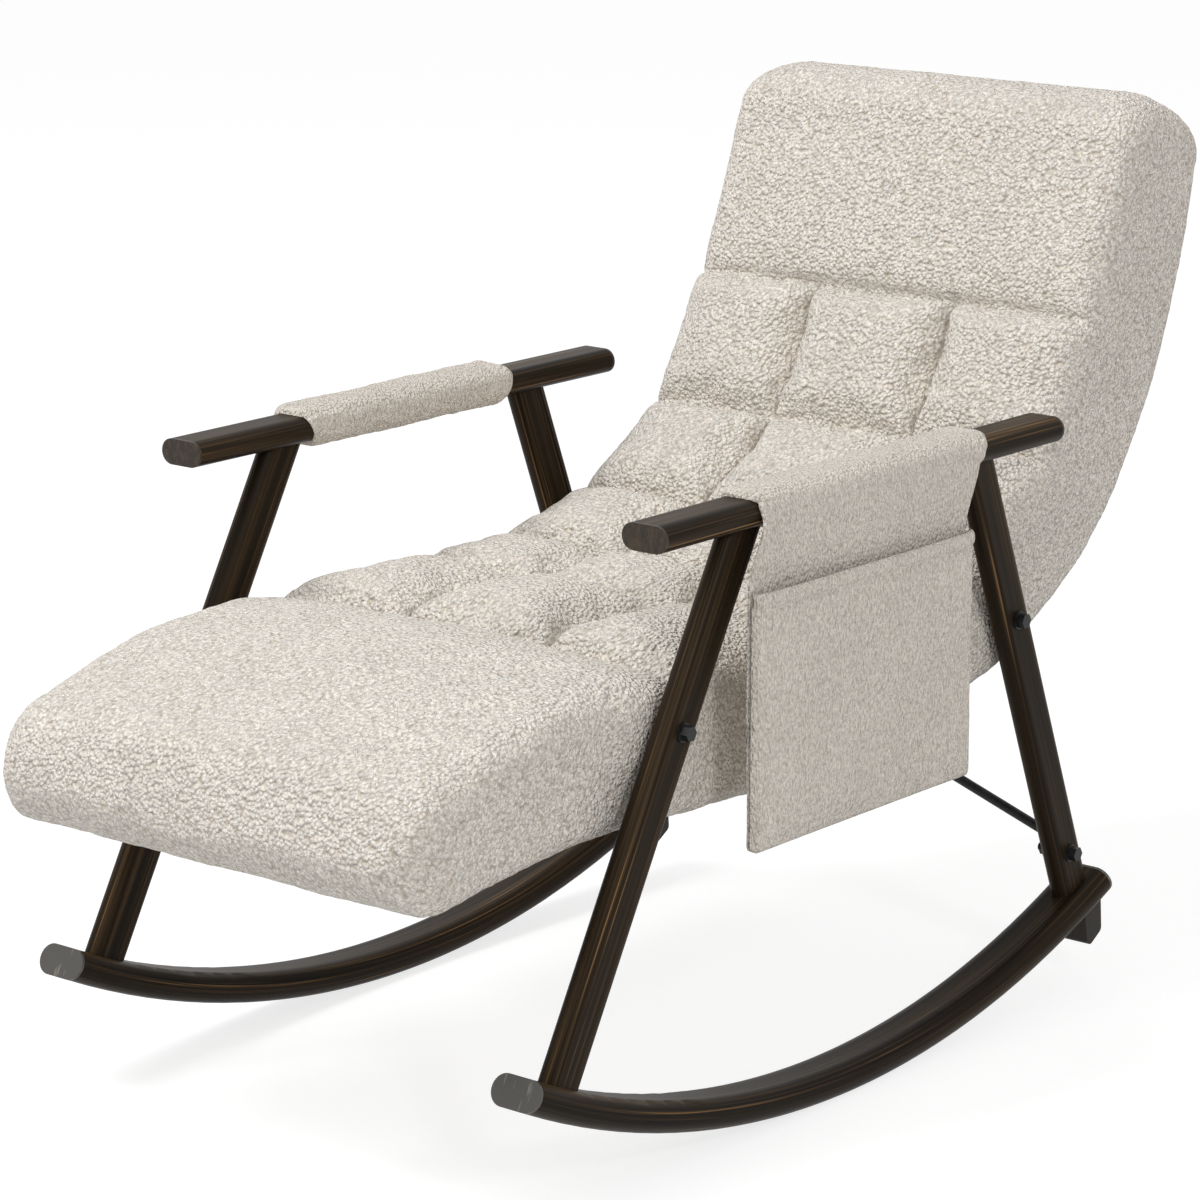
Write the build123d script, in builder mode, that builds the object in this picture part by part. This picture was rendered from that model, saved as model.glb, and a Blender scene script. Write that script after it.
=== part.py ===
from build123d import *
import os
from math import asin, cos, degrees, radians, sin, sqrt

os.makedirs("parts", exist_ok=True)

# Frame of the model: millimetres, +Z up, the sitter faces -Y, +X is the sitter's left.
# The origin lies on the floor, midway between the two lines where the rockers touch it.

# Side frames
frame_half_spacing = 280.0
tube_wall = 1.5
weld_gap = 0.1
plug_clearance = 0.2
plug_depth = 12.0
cap_thickness = 3.0

rocker_radius = 1065.0
rocker_width = 55.0
rocker_height = 30.0
rocker_front_end = -468.5
rocker_rear_end = 421.0

arm_width = 50.0
arm_height = 25.0
arm_level = 585.0
arm_front = -297.0
arm_rear = 320.0

leg_depth = 45.0
leg_thickness = 22.0
leg_overrun = 60.0
leg_head_drop = 13.0
front_leg_head = -162.0
front_leg_foot = (-417.0, 114.0)
rear_leg_head = 203.0
rear_leg_foot = (386.0, 105.0)

stop_thickness = 28.0
stop_heel = 404.0
stop_tip = 428.0
stop_top_heel = 392.0
stop_top_tip = 424.0
stop_heel_drop = 44.0
stop_tip_drop = 40.0
stop_rounding = 6.0

# Bolts
bolt_radius = 4.0
bolt_hole_clearance = 0.25
pivot_clearance = 0.05
bolt_across_flats = 13.0
bolt_head_height = 8.0
bolt_tail = 3.0
nut_height = 7.0
washer_radius = 9.0
washer_thickness = 2.0
bush_radius = 7.5
joint_gap = 0.3
seat_bolt_level = 404.0
brace_bolt_level = 144.0

# Hidden seat and back frames
rail_width = 20.0
rail_height = 30.0
rail_corner = 4.0
rail_inset = 27.5
rail_front = (-520.0, 350.0)
rail_bend = (-320.0, 404.0)
rail_bend_radius = 150.0
rail_end_gap = 30.0
upright_start = 55.0
upright_lower = (372.0, 470.0)
upright_middle = (468.0, 600.0)
upright_top = (562.0, 812.0)
upright_bend_radius = 120.0
cross_tube_diameter = 22.0
strap_width = 50.0
strap_thickness = 3.0
seat_front_tube_inset = 23.0
seat_middle_tube_inset = 383.0
seat_rear_tube_inset = 54.0
seat_front_strap_inset = 100.0
seat_strap_insets = (115.0, 184.0, 253.0, 322.0, 444.0)
back_lower_tube_inset = 28.0
back_middle_tube_inset = 230.0
back_top_tube_inset = 14.0
back_lower_strap_insets = (117.0, 186.0)
back_strap_insets = (64.0, 120.0, 176.0)

# Back hinges
hinge_plate_thickness = 5.0
hinge_plate_gap = 0.5
hinge_plate_width = 30.0
hinge_eye_radius = 22.0
hinge_fixed_reach = 110.0
hinge_moving_reach = 120.0
stop_pin_radius = 5.0
stop_pin_reach = 38.0
stop_lobe_radius = 10.0

# Cross brace behind the seat
brace_rod_radius = 5.0
brace_rod_offset = 5.2
brace_tab_thickness = 4.0
brace_tab_width = 22.0
brace_rod_inset = 13.0
brace_clearance = 1.0

# Tufted mattress, as (Y, Z) seam points on its upper side and points on its under side
mattress_side_gap = 10.0
mattress_waist = 4.0
border_bulge = 6.0
border_rounding = 16.0
seam_gap = 0.3
frame_clearance = 0.3
row_crown = 14.0
column_seam = 85.0
column_crown = 13.0
column_seam_height = 2.0
panel_corner = 45.0
panel_tip_slack = 5.0
roll_shoulder_height = 22.0
roll_crown = 34.0
head_shoulder_height = 2.0
head_crown = 16.0
seam_front = (-207.0, 438.0)
seam_seat = (-20.0, 428.0)
seam_seat_rear = (109.0, 431.0)
seam_crease = (249.0, 463.0)
seam_lumbar = (369.0, 540.0)
seam_head = (444.0, 669.0)
under_front = (-207.0, 307.0)
under_seat_rear = (109.0, 309.0)
under_crease = (284.0, 343.0)
under_lumbar = (467.0, 440.0)
under_head = (578.0, 598.0)
roll_shoulder = (-530.0, 395.0)
roll_nose = (-577.0, 352.0)
roll_chin = (-530.0, 296.0)
roll_belly = (-380.0, 293.0)
head_front_top = (515.0, 842.0)
head_crest_offset = (73.0, 34.0)
head_rear_offset = (137.0, -24.0)

# Arm pads and side pocket
pad_thickness = 7.0
pad_clearance = 0.3
pad_leg_gap = 1.0
pad_left_top = (-164.0, 190.0)
pad_left_rear_gap = 8.0
pad_right_top = (-144.0, 158.0)
pad_right_rear_gap = 24.0
pocket_front_edge = -186.0
pocket_rear_edge = 146.0
pocket_bottom = 281.0
pocket_mouth = 520.0
pocket_top = 576.0
pocket_panel = 4.0
pocket_room = 9.0
pocket_corner = 14.0
hem_height = 14.0
hem_proud = 2.0

# Values that follow from the driving ones
side_signs = (("left", 1), ("right", -1))
arm_underside = arm_level - arm_height / 2
front_leg_top = (front_leg_head, arm_level - leg_head_drop)
rear_leg_top = (rear_leg_head, arm_level - leg_head_drop)
head_crest = (head_front_top[0] + head_crest_offset[0], head_front_top[1] + head_crest_offset[1])
head_rear_top = (head_front_top[0] + head_rear_offset[0], head_front_top[1] + head_rear_offset[1])
rocker_axis_radius = rocker_radius - rocker_height / 2
rocker_top_radius = rocker_radius - rocker_height
rocker_front_angle = degrees(asin(rocker_front_end / rocker_axis_radius))
rocker_rear_angle = degrees(asin(rocker_rear_end / rocker_axis_radius))
stop_seat = rocker_radius - rocker_axis_radius * cos(radians(rocker_rear_angle))
leg_inner_face = frame_half_spacing - leg_thickness / 2
leg_outer_face = frame_half_spacing + leg_thickness / 2
mattress_half_width = frame_half_spacing - arm_width / 2 - mattress_side_gap
rail_centre = mattress_half_width - rail_inset
rail_outer_face = rail_centre + rail_width / 2
rail_inner_face = rail_centre - rail_width / 2
fixed_plate_outer_face = rail_outer_face + hinge_plate_thickness
moving_plate_inner_face = fixed_plate_outer_face + hinge_plate_gap
moving_plate_outer_face = moving_plate_inner_face + hinge_plate_thickness
upright_centre = moving_plate_inner_face - rail_width / 2
upright_inner_face = upright_centre - rail_width / 2
brace_tab_inner_face = leg_inner_face - brace_tab_thickness
bolt_hole_radius = bolt_radius + bolt_hole_clearance
pivot_hole_radius = bolt_radius + pivot_clearance
pad_outer_offset = pad_clearance + pad_thickness
pad_outer_face = frame_half_spacing + arm_width / 2 + pad_outer_offset


def on_line(top, foot, level):
    """Y of the straight line from top to foot at a given height."""
    share = (top[1] - level) / (top[1] - foot[1])
    return top[0] + share * (foot[0] - top[0])


front_bolt = (on_line(front_leg_top, front_leg_foot, seat_bolt_level), seat_bolt_level)
pivot = (on_line(rear_leg_top, rear_leg_foot, seat_bolt_level), seat_bolt_level)
brace_bolt = (on_line(rear_leg_top, rear_leg_foot, brace_bolt_level), brace_bolt_level)


def unit(start, end):
    """Unit (Y, Z) direction from one side-view point to another."""
    length = sqrt((end[0] - start[0]) ** 2 + (end[1] - start[1]) ** 2)
    return ((end[0] - start[0]) / length, (end[1] - start[1]) / length)


def along(start, direction, distance):
    """Side-view point at a distance from start."""
    return (start[0] + direction[0] * distance, start[1] + direction[1] * distance)


def side_plane(x, point, direction):
    """Plane at X whose local x runs along a side-view direction and whose normal is +X."""
    return Plane(origin=(x, *point), x_dir=(0, *direction), z_dir=(1, 0, 0))


def section_plane(x, point, direction):
    """Plane square to a side-view direction, with local x along +X."""
    return Plane(origin=(x, *point), x_dir=(1, 0, 0), z_dir=(0, *direction))


def save(part, label):
    part.label = label
    export_step(part, f"parts/{label}.step")


def rocker_plane(x, angle):
    """Plane square to the rocker's centre line at an angle from its lowest point."""
    turn = radians(angle)
    point = (rocker_axis_radius * sin(turn), rocker_radius - rocker_axis_radius * cos(turn))
    return section_plane(x, point, (cos(turn), sin(turn)))


def rocker_underside(y):
    """Height of the rocker's lower face at a distance from its lowest point."""
    return rocker_radius - sqrt(rocker_radius**2 - y**2)


def end_cap(plane, width, height, outward):
    """Flat cap of a flat-oval tube, with a plug that sits inside the tube."""
    shrink = 2 * tube_wall + 2 * plug_clearance
    with BuildPart() as cap:
        with BuildSketch(plane):
            SlotOverall(width, height)
        extrude(amount=outward * cap_thickness)
        with BuildSketch(plane):
            SlotOverall(width - shrink, height - shrink)
        extrude(amount=-outward * plug_depth)
    return cap.part


def leg(x, top, foot, bolt_points):
    """Hollow flat-oval leg, cut flush to the arm above it and to the rocker below it."""
    axis = unit(foot, top)
    across = (axis[1], -axis[0])
    length = sqrt((top[0] - foot[0]) ** 2 + (top[1] - foot[1]) ** 2)
    start = along(foot, axis, -leg_overrun)
    with BuildPart() as tube:
        with BuildSketch(Plane(origin=(x, *start), x_dir=(0, *across), z_dir=(0, *axis))):
            SlotOverall(leg_depth, leg_thickness)
            SlotOverall(leg_depth - 2 * tube_wall, leg_thickness - 2 * tube_wall, mode=Mode.SUBTRACT)
        extrude(amount=length + 2 * leg_overrun)
        split(bisect_by=Plane.XY.offset(arm_underside - weld_gap), keep=Keep.BOTTOM)
        with Locations((x, 0, rocker_radius)):
            Cylinder(
                rocker_top_radius - weld_gap,
                2 * rocker_width,
                rotation=(0, 90, 0),
                mode=Mode.INTERSECT,
            )
        for point in bolt_points:
            with Locations((x, *point)):
                Cylinder(bolt_hole_radius, 2 * leg_thickness, rotation=(0, 90, 0), mode=Mode.SUBTRACT)
    return tube.part


# Side frames: rocker, legs, arm, caps and tipping stop on each side
for side, sign in side_signs:
    x = sign * frame_half_spacing

    with BuildPart() as rocker:
        with BuildSketch(rocker_plane(x, rocker_front_angle)):
            SlotOverall(rocker_width, rocker_height)
            SlotOverall(rocker_width - 2 * tube_wall, rocker_height - 2 * tube_wall, mode=Mode.SUBTRACT)
        revolve(
            axis=Axis((0, 0, rocker_radius), (1, 0, 0)),
            revolution_arc=rocker_rear_angle - rocker_front_angle,
        )
    save(rocker.part, f"rocker_{side}")

    rocker_caps = [
        end_cap(rocker_plane(x, rocker_front_angle), rocker_width, rocker_height, -1),
        end_cap(rocker_plane(x, rocker_rear_angle), rocker_width, rocker_height, 1),
    ]
    save(Compound(children=rocker_caps), f"rocker_end_caps_{side}")

    with BuildPart() as arm:
        with BuildSketch(section_plane(x, (arm_front + cap_thickness, arm_level), (1, 0))):
            SlotOverall(arm_width, arm_height)
            SlotOverall(arm_width - 2 * tube_wall, arm_height - 2 * tube_wall, mode=Mode.SUBTRACT)
        extrude(amount=arm_rear - arm_front - 2 * cap_thickness)
    save(arm.part, f"arm_{side}")

    arm_caps = [
        end_cap(section_plane(x, (arm_front + cap_thickness, arm_level), (1, 0)), arm_width, arm_height, -1),
        end_cap(section_plane(x, (arm_rear - cap_thickness, arm_level), (1, 0)), arm_width, arm_height, 1),
    ]
    save(Compound(children=arm_caps), f"arm_end_caps_{side}")

    save(leg(x, front_leg_top, front_leg_foot, [front_bolt]), f"front_leg_{side}")
    save(leg(x, rear_leg_top, rear_leg_foot, [pivot, brace_bolt]), f"rear_leg_{side}")

    # The stop block hangs under the rocker's rear end and meets the floor before the chair tips.
    stop_heel_level = rocker_underside(stop_heel) - stop_heel_drop
    stop_tip_level = rocker_underside(stop_tip) - stop_tip_drop
    with BuildPart() as tipping_stop:
        with BuildSketch(Plane.YZ.offset(x - stop_thickness / 2)) as outline:
            with BuildLine():
                Polyline(
                    (stop_top_heel, stop_seat),
                    (stop_heel, stop_heel_level),
                    (stop_tip, stop_tip_level),
                    (stop_top_tip, stop_seat),
                    close=True,
                )
            make_face()
            fillet(outline.vertices().group_by(Axis.Y)[0] + outline.vertices().group_by(Axis.Y)[1], stop_rounding)
        extrude(amount=stop_thickness)
        with Locations((x, 0, rocker_radius)):
            Cylinder(rocker_radius + weld_gap, 2 * rocker_width, rotation=(0, 90, 0), mode=Mode.SUBTRACT)
    save(tipping_stop.part, f"tipping_stop_{side}")


def rail_path():
    """Centre line of a seat rail: level under the seat, falling under the front roll."""
    with BuildLine(Plane.YZ) as path:
        FilletPolyline(rail_front, rail_bend, (pivot[0] - rail_end_gap, seat_bolt_level), radius=rail_bend_radius)
    return path.wire()


back_direction = unit(pivot, upright_lower)


def upright_path():
    """Centre line of a back upright, which follows the bent back."""
    with BuildLine(Plane.YZ) as path:
        FilletPolyline(
            along(pivot, back_direction, upright_start),
            upright_lower,
            upright_middle,
            upright_top,
            radius=upright_bend_radius,
        )
    return path.wire()


def path_plane(path, place):
    """Plane square to a path at a distance along it, counted from its end when negative."""
    distance = place if place >= 0 else path.length + place
    point = path.position_at(distance, PositionMode.LENGTH)
    direction = path.tangent_at(distance, PositionMode.LENGTH)
    return section_plane(0, (point.Y, point.Z), (direction.Y, direction.Z))


def bar(path, centres, width, height, corner):
    """Solid rounded bars swept along a path at the given X places."""
    with BuildPart() as swept:
        with BuildSketch(path_plane(path, 0)):
            with Locations(*[(centre, 0) for centre in centres]):
                RectangleRounded(width, height, corner)
        sweep(path=path)
    return swept.part


def rail_tube(path, centre):
    """Hollow rectangular tube swept along a path."""
    with BuildPart() as tube:
        with BuildSketch(path_plane(path, 0)):
            with Locations((centre, 0)):
                RectangleRounded(rail_width, rail_height, rail_corner)
                RectangleRounded(
                    rail_width - 2 * tube_wall,
                    rail_height - 2 * tube_wall,
                    rail_corner - tube_wall,
                    mode=Mode.SUBTRACT,
                )
        sweep(path=path)
    return tube.part


def cross_tube(path, place, reach, label):
    """Round tube between the two rails at a place on their path."""
    with BuildPart() as tube:
        with Locations(path_plane(path, place).origin):
            Cylinder(cross_tube_diameter / 2, 2 * reach, rotation=(0, 90, 0))
            Cylinder(cross_tube_diameter / 2 - tube_wall, 2 * reach, rotation=(0, 90, 0), mode=Mode.SUBTRACT)
    save(tube.part, label)


def straps(path, places, reach, label):
    """Elastic straps between the inner faces of two rails."""
    bands = []
    for place in places:
        with BuildPart() as band:
            with BuildSketch(path_plane(path, place)):
                Rectangle(2 * reach, strap_thickness)
            extrude(amount=strap_width / 2, both=True)
        bands.append(band.part)
    save(Compound(children=bands), label)


# Seat frame inside the mattress
seat_line = rail_path()
for side, sign in side_signs:
    with BuildPart() as seat_rail:
        add(rail_tube(seat_line, sign * rail_centre))
        with Locations((sign * rail_centre, *front_bolt)):
            Cylinder(bolt_hole_radius, 2 * rail_width, rotation=(0, 90, 0), mode=Mode.SUBTRACT)
    save(seat_rail.part, f"seat_rail_{side}")
seat_tube_places = (seat_front_tube_inset, -seat_middle_tube_inset, -seat_rear_tube_inset)
for place, name in zip(seat_tube_places, ("front", "middle", "rear")):
    cross_tube(seat_line, place, rail_inner_face, f"seat_cross_tube_{name}")
seat_strap_places = [seat_front_strap_inset] + [-inset for inset in seat_strap_insets]
straps(seat_line, seat_strap_places, rail_inner_face, "seat_straps")

# Back frame inside the mattress
back_line = upright_path()
for side, sign in side_signs:
    save(rail_tube(back_line, sign * upright_centre), f"back_upright_{side}")
back_tube_places = (back_lower_tube_inset, -back_middle_tube_inset, -back_top_tube_inset)
for place, name in zip(back_tube_places, ("lower", "middle", "top")):
    cross_tube(back_line, place, upright_inner_face, f"back_cross_tube_{name}")
back_strap_places = [*back_lower_strap_insets] + [-inset for inset in back_strap_insets]
straps(back_line, back_strap_places, upright_inner_face, "back_straps")

# Back hinges: a fixed plate on each rail, a moving plate on each upright and a stop pin
stop_pin = along(
    along(pivot, back_direction, stop_pin_reach),
    (back_direction[1], -back_direction[0]),
    hinge_plate_width / 2 + stop_pin_radius + joint_gap,
)


def hinge_plate(x, reach, direction, hole_radius, lobe=None):
    """Plate with a round eye at the pivot and an arm along a side-view direction."""
    with BuildPart() as plate:
        with BuildSketch(side_plane(x, pivot, direction)):
            Circle(hinge_eye_radius)
            with Locations((reach / 2, 0)):
                Rectangle(reach, hinge_plate_width)
        if lobe:
            lobe_direction = unit(pivot, lobe)
            lobe_reach = sqrt((lobe[0] - pivot[0]) ** 2 + (lobe[1] - pivot[1]) ** 2)
            with BuildSketch(side_plane(x, pivot, lobe_direction)):
                with Locations((lobe_reach / 2, 0)):
                    SlotCenterToCenter(lobe_reach, 2 * stop_lobe_radius)
        extrude(amount=hinge_plate_thickness)
        with Locations((x, *pivot)):
            Cylinder(hole_radius, 4 * hinge_plate_thickness, rotation=(0, 90, 0), mode=Mode.SUBTRACT)
    return plate.part


for side, sign in side_signs:
    fixed_x = min(sign * rail_outer_face, sign * fixed_plate_outer_face)
    fixed_plate = hinge_plate(fixed_x, hinge_fixed_reach, (-1, 0), bolt_hole_radius, stop_pin)
    save(fixed_plate, f"hinge_fixed_plate_{side}")
    moving_x = min(sign * moving_plate_inner_face, sign * moving_plate_outer_face)
    moving_plate = hinge_plate(moving_x, hinge_moving_reach, back_direction, pivot_hole_radius)
    save(moving_plate, f"hinge_moving_plate_{side}")
    with BuildPart() as pin:
        with BuildSketch(side_plane(moving_x, stop_pin, back_direction)):
            Circle(stop_pin_radius)
        extrude(amount=hinge_plate_thickness)
        with BuildSketch(side_plane(sign * fixed_plate_outer_face, stop_pin, back_direction)):
            Circle(stop_pin_radius)
        extrude(amount=sign * hinge_plate_gap)
    save(pin.part, f"hinge_stop_pin_{side}")


def bolt_set(label, point, nut_seat):
    """Bolt, washer and nut on each side, from the leg's outer face to the nut's seat."""
    bolts = []
    washers = []
    nuts = []
    for _, sign in side_signs:
        head_face = leg_outer_face + washer_thickness
        with BuildPart() as bolt:
            with BuildSketch(side_plane(sign * head_face, point, (1, 0))):
                RegularPolygon(bolt_across_flats / 2, 6, major_radius=False)
            extrude(amount=sign * bolt_head_height)
            with BuildSketch(side_plane(sign * head_face, point, (1, 0))):
                Circle(bolt_radius)
            extrude(amount=-sign * (head_face - nut_seat + nut_height + bolt_tail))
        bolts.append(bolt.part)
        with BuildPart() as washer:
            with BuildSketch(side_plane(sign * leg_outer_face, point, (1, 0))):
                Circle(washer_radius)
                Circle(bolt_hole_radius, mode=Mode.SUBTRACT)
            extrude(amount=sign * washer_thickness)
        washers.append(washer.part)
        with BuildPart() as nut:
            with BuildSketch(side_plane(sign * nut_seat, point, (1, 0))):
                RegularPolygon(bolt_across_flats / 2, 6, major_radius=False)
                Circle(bolt_hole_radius, mode=Mode.SUBTRACT)
            extrude(amount=-sign * nut_height)
        nuts.append(nut.part)
    save(Compound(children=bolts), f"{label}_bolts")
    return washers, nuts


front_washers, front_nuts = bolt_set("seat_front", front_bolt, rail_inner_face)
pivot_washers, pivot_nuts = bolt_set("hinge_pivot", pivot, rail_outer_face)
brace_washers, brace_nuts = bolt_set("brace", brace_bolt, brace_tab_inner_face)
save(Compound(children=front_washers + pivot_washers + brace_washers), "bolt_washers")
save(Compound(children=front_nuts + pivot_nuts + brace_nuts), "bolt_nuts")


def bushes(label, point, outer_face, inner_face):
    """Spacer bush round a bolt on each side."""
    pair = []
    for _, sign in side_signs:
        with BuildPart() as bush:
            with BuildSketch(side_plane(sign * inner_face, point, (1, 0))):
                Circle(bush_radius)
                Circle(bolt_hole_radius, mode=Mode.SUBTRACT)
            extrude(amount=sign * (outer_face - inner_face))
        pair.append(bush.part)
    save(Compound(children=pair), label)


bushes("seat_front_bushes", front_bolt, leg_inner_face, rail_outer_face)
bushes("hinge_bushes", pivot, brace_tab_inner_face, moving_plate_outer_face + joint_gap)

# Cross brace: two rods between the rear legs, with a bolted tab at each end
leg_line = unit(brace_bolt, pivot)
leg_square = (leg_line[1], -leg_line[0])
brace_low = along(brace_bolt, leg_line, brace_rod_inset)
brace_high = along(pivot, leg_line, -brace_rod_inset)


def brace_rod(sign, radius):
    """Rod from the lower end on one side to the upper end on the other."""
    low = along(brace_low, leg_square, sign * brace_rod_offset)
    high = along(brace_high, leg_square, sign * brace_rod_offset)
    start = Vector(sign * leg_inner_face, *low)
    end = Vector(-sign * leg_inner_face, *high)
    with BuildPart() as rod:
        with BuildSketch(Plane(origin=start, z_dir=end - start)):
            Circle(radius)
        extrude(amount=(end - start).length)
        split(bisect_by=Plane.YZ.offset(brace_tab_inner_face), keep=Keep.BOTTOM)
        split(bisect_by=Plane.YZ.offset(-brace_tab_inner_face), keep=Keep.TOP)
    return rod.part


save(brace_rod(1, brace_rod_radius), "brace_rod_front")
save(brace_rod(-1, brace_rod_radius), "brace_rod_rear")
tabs = []
for _, sign in side_signs:
    for point, direction in ((brace_bolt, 1), (pivot, -1)):
        with BuildPart() as tab:
            with BuildSketch(side_plane(sign * brace_tab_inner_face, point, along((0, 0), leg_line, direction))):
                with Locations((brace_rod_inset / 2, 0)):
                    SlotCenterToCenter(brace_rod_inset, brace_tab_width)
                Circle(bolt_hole_radius, mode=Mode.SUBTRACT)
            extrude(amount=sign * brace_tab_thickness)
        tabs.append(tab.part)
save(Compound(children=tabs), "brace_tabs")


# Tufted mattress
def crown_point(start, end, rise):
    """Middle of a row, raised square to its chord."""
    direction = unit(start, end)
    middle = ((start[0] + end[0]) / 2, (start[1] + end[1]) / 2)
    return along(middle, (-direction[1], direction[0]), rise)


def seam_line(top, under, shift):
    """Sewn seam through the mattress, moved along it by a share of the seam gap."""
    direction = unit(top, under)
    normal = (-direction[1], direction[0])
    return along(top, normal, shift), along(under, normal, shift)


def column_outline(plane, depth, valleys, valley_height, crown):
    """Cross profile of a mattress panel: flat under side, bulged borders and crowned columns."""
    edge = mattress_half_width - border_bulge
    with BuildSketch(plane) as outline:
        with BuildLine():
            Line((-edge, -depth), (edge, -depth))
            ThreePointArc((edge, -depth), (mattress_half_width, -depth / 2), (edge, valley_height - border_rounding))
            Line((edge, valley_height - border_rounding), (valleys[0], valley_height))
            for start, end in zip(valleys, valleys[1:]):
                ThreePointArc((start, valley_height), ((start + end) / 2, crown), (end, valley_height))
            Line((valleys[-1], valley_height), (-edge, valley_height - border_rounding))
            ThreePointArc((-edge, valley_height - border_rounding), (-mattress_half_width, -depth / 2), (-edge, -depth))
        make_face()
    return outline.sketch


def plan_outline(plane, length, reach, free_end):
    """Plan of a mattress panel, drawn in between its seams and rounded at a free end."""
    edge = mattress_half_width
    waist = mattress_half_width - mattress_waist
    low = min(free_end, 0) or -reach
    high = max(free_end, 0) or reach
    with BuildSketch(plane) as outline:
        with BuildLine():
            Polyline((-edge, -length / 2), (-edge, low), (edge, low), (edge, -length / 2))
            ThreePointArc((edge, -length / 2), (waist, 0), (edge, length / 2))
            Polyline((edge, length / 2), (edge, high), (-edge, high), (-edge, length / 2))
            ThreePointArc((-edge, length / 2), (-waist, 0), (-edge, -length / 2))
        make_face()
        if free_end:
            fillet(outline.vertices().group_by(Axis.Y)[-1 if free_end > 0 else 0], panel_corner)
    return outline.sketch


shoulder = mattress_half_width - border_rounding
tuft_columns = ((shoulder, column_seam, -column_seam, -shoulder), column_seam_height, column_crown)
roll_column = ((shoulder, -shoulder), roll_shoulder_height, roll_crown)
head_column = ((shoulder, -shoulder), head_shoulder_height, head_crown)


def mattress_panel(side_face, chord, depth, columns, cutters, tip=None):
    """One panel of the mattress: side profile, cross profile and waisted plan, less the frame."""
    direction = unit(*chord)
    normal = (-direction[1], direction[0])
    middle = ((chord[0][0] + chord[1][0]) / 2, (chord[0][1] + chord[1][1]) / 2)
    length = sqrt((chord[1][0] - chord[0][0]) ** 2 + (chord[1][1] - chord[0][1]) ** 2)
    reach = 2 * length + depth
    free_end = 0.0
    if tip:
        free_end = (tip[0] - middle[0]) * direction[0] + (tip[1] - middle[1]) * direction[1]
        free_end += panel_tip_slack if free_end > 0 else -panel_tip_slack
    cross_plane = Plane(origin=(0, *middle), x_dir=(1, 0, 0), z_dir=(0, -normal[1], normal[0]))
    plan_plane = Plane(origin=(0, *middle), x_dir=(1, 0, 0), z_dir=(0, *normal))
    with BuildPart() as panel:
        extrude(side_face, amount=2 * mattress_half_width, both=True)
        extrude(column_outline(cross_plane, depth, *columns), amount=reach, both=True, mode=Mode.INTERSECT)
        extrude(plan_outline(plan_plane, length, reach, free_end), amount=reach, both=True, mode=Mode.INTERSECT)
        for cutter in cutters:
            add(cutter, mode=Mode.SUBTRACT)
    return panel.part


def frame_room(path, centre, places, reach):
    """Room in the mattress for a pair of rails, the straps between them and the cross tubes."""
    rails = bar(
        path,
        (centre, -centre),
        rail_width + 2 * frame_clearance,
        rail_height + 2 * frame_clearance,
        rail_corner,
    )
    with BuildPart() as strap_room:
        with BuildSketch(path_plane(path, 0)):
            Rectangle(2 * reach, strap_thickness + 2 * frame_clearance)
        sweep(path=path)
    with BuildPart() as tube_room:
        for place in places:
            with Locations(path_plane(path, place).origin):
                Cylinder(cross_tube_diameter / 2 + frame_clearance, 2 * reach, rotation=(0, 90, 0))
    return [rails, strap_room.part, tube_room.part]


# Pockets for the hinges, bushes, nuts and brace rods
hinge_room_inner = rail_inner_face - frame_clearance
hinge_room_outer = moving_plate_outer_face + joint_gap
with BuildPart() as hinge_room:
    for _, sign in side_signs:
        start_x = min(sign * hinge_room_inner, sign * hinge_room_outer)
        with BuildSketch(side_plane(start_x, pivot, (-1, 0))):
            Circle(hinge_eye_radius + 2 * frame_clearance)
            with Locations((hinge_fixed_reach / 2, 0)):
                Rectangle(hinge_fixed_reach + 2 * frame_clearance, hinge_plate_width + 2 * frame_clearance)
        extrude(amount=hinge_room_outer - hinge_room_inner)
        with BuildSketch(side_plane(start_x, pivot, back_direction)):
            with Locations((hinge_moving_reach / 2, 0)):
                Rectangle(hinge_moving_reach + 2 * frame_clearance, hinge_plate_width + 2 * frame_clearance)
        extrude(amount=hinge_room_outer - hinge_room_inner)
        lobe_reach = sqrt((stop_pin[0] - pivot[0]) ** 2 + (stop_pin[1] - pivot[1]) ** 2)
        with BuildSketch(side_plane(start_x, pivot, unit(pivot, stop_pin))):
            with Locations((lobe_reach / 2, 0)):
                SlotCenterToCenter(lobe_reach, 2 * stop_lobe_radius + 2 * frame_clearance)
        extrude(amount=hinge_room_outer - hinge_room_inner)
with BuildPart() as bolt_room:
    for point in (front_bolt, pivot):
        with Locations((0, *point)):
            Cylinder(bush_radius + frame_clearance, 4 * mattress_half_width, rotation=(0, 90, 0))
            Cylinder(
                bush_radius + 2 * frame_clearance,
                2 * (rail_inner_face - 2 * nut_height),
                rotation=(0, 90, 0),
                mode=Mode.SUBTRACT,
            )
brace_room = [brace_rod(sign, brace_rod_radius + brace_clearance) for _, sign in side_signs]
seat_room = frame_room(seat_line, rail_centre, seat_tube_places, rail_inner_face)
back_room = frame_room(back_line, upright_centre, back_tube_places, upright_inner_face)
hinge_rooms = [hinge_room.part, bolt_room.part]


def row_profile(seams, front_seam, rear_seam, crown):
    """Side profile between two sewn seams, with a crown over each row."""
    front_top, front_under = seam_line(*front_seam, seam_gap / 2)
    rear_top, rear_under = seam_line(*rear_seam, -seam_gap / 2)
    points = [front_top, *seams, rear_top]
    with BuildSketch(Plane.YZ) as profile:
        with BuildLine():
            for start, end in zip(points, points[1:]):
                ThreePointArc(start, crown_point(start, end, crown), end)
            Polyline(rear_top, rear_under, front_under, front_top)
        make_face()
    return profile.sketch


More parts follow.
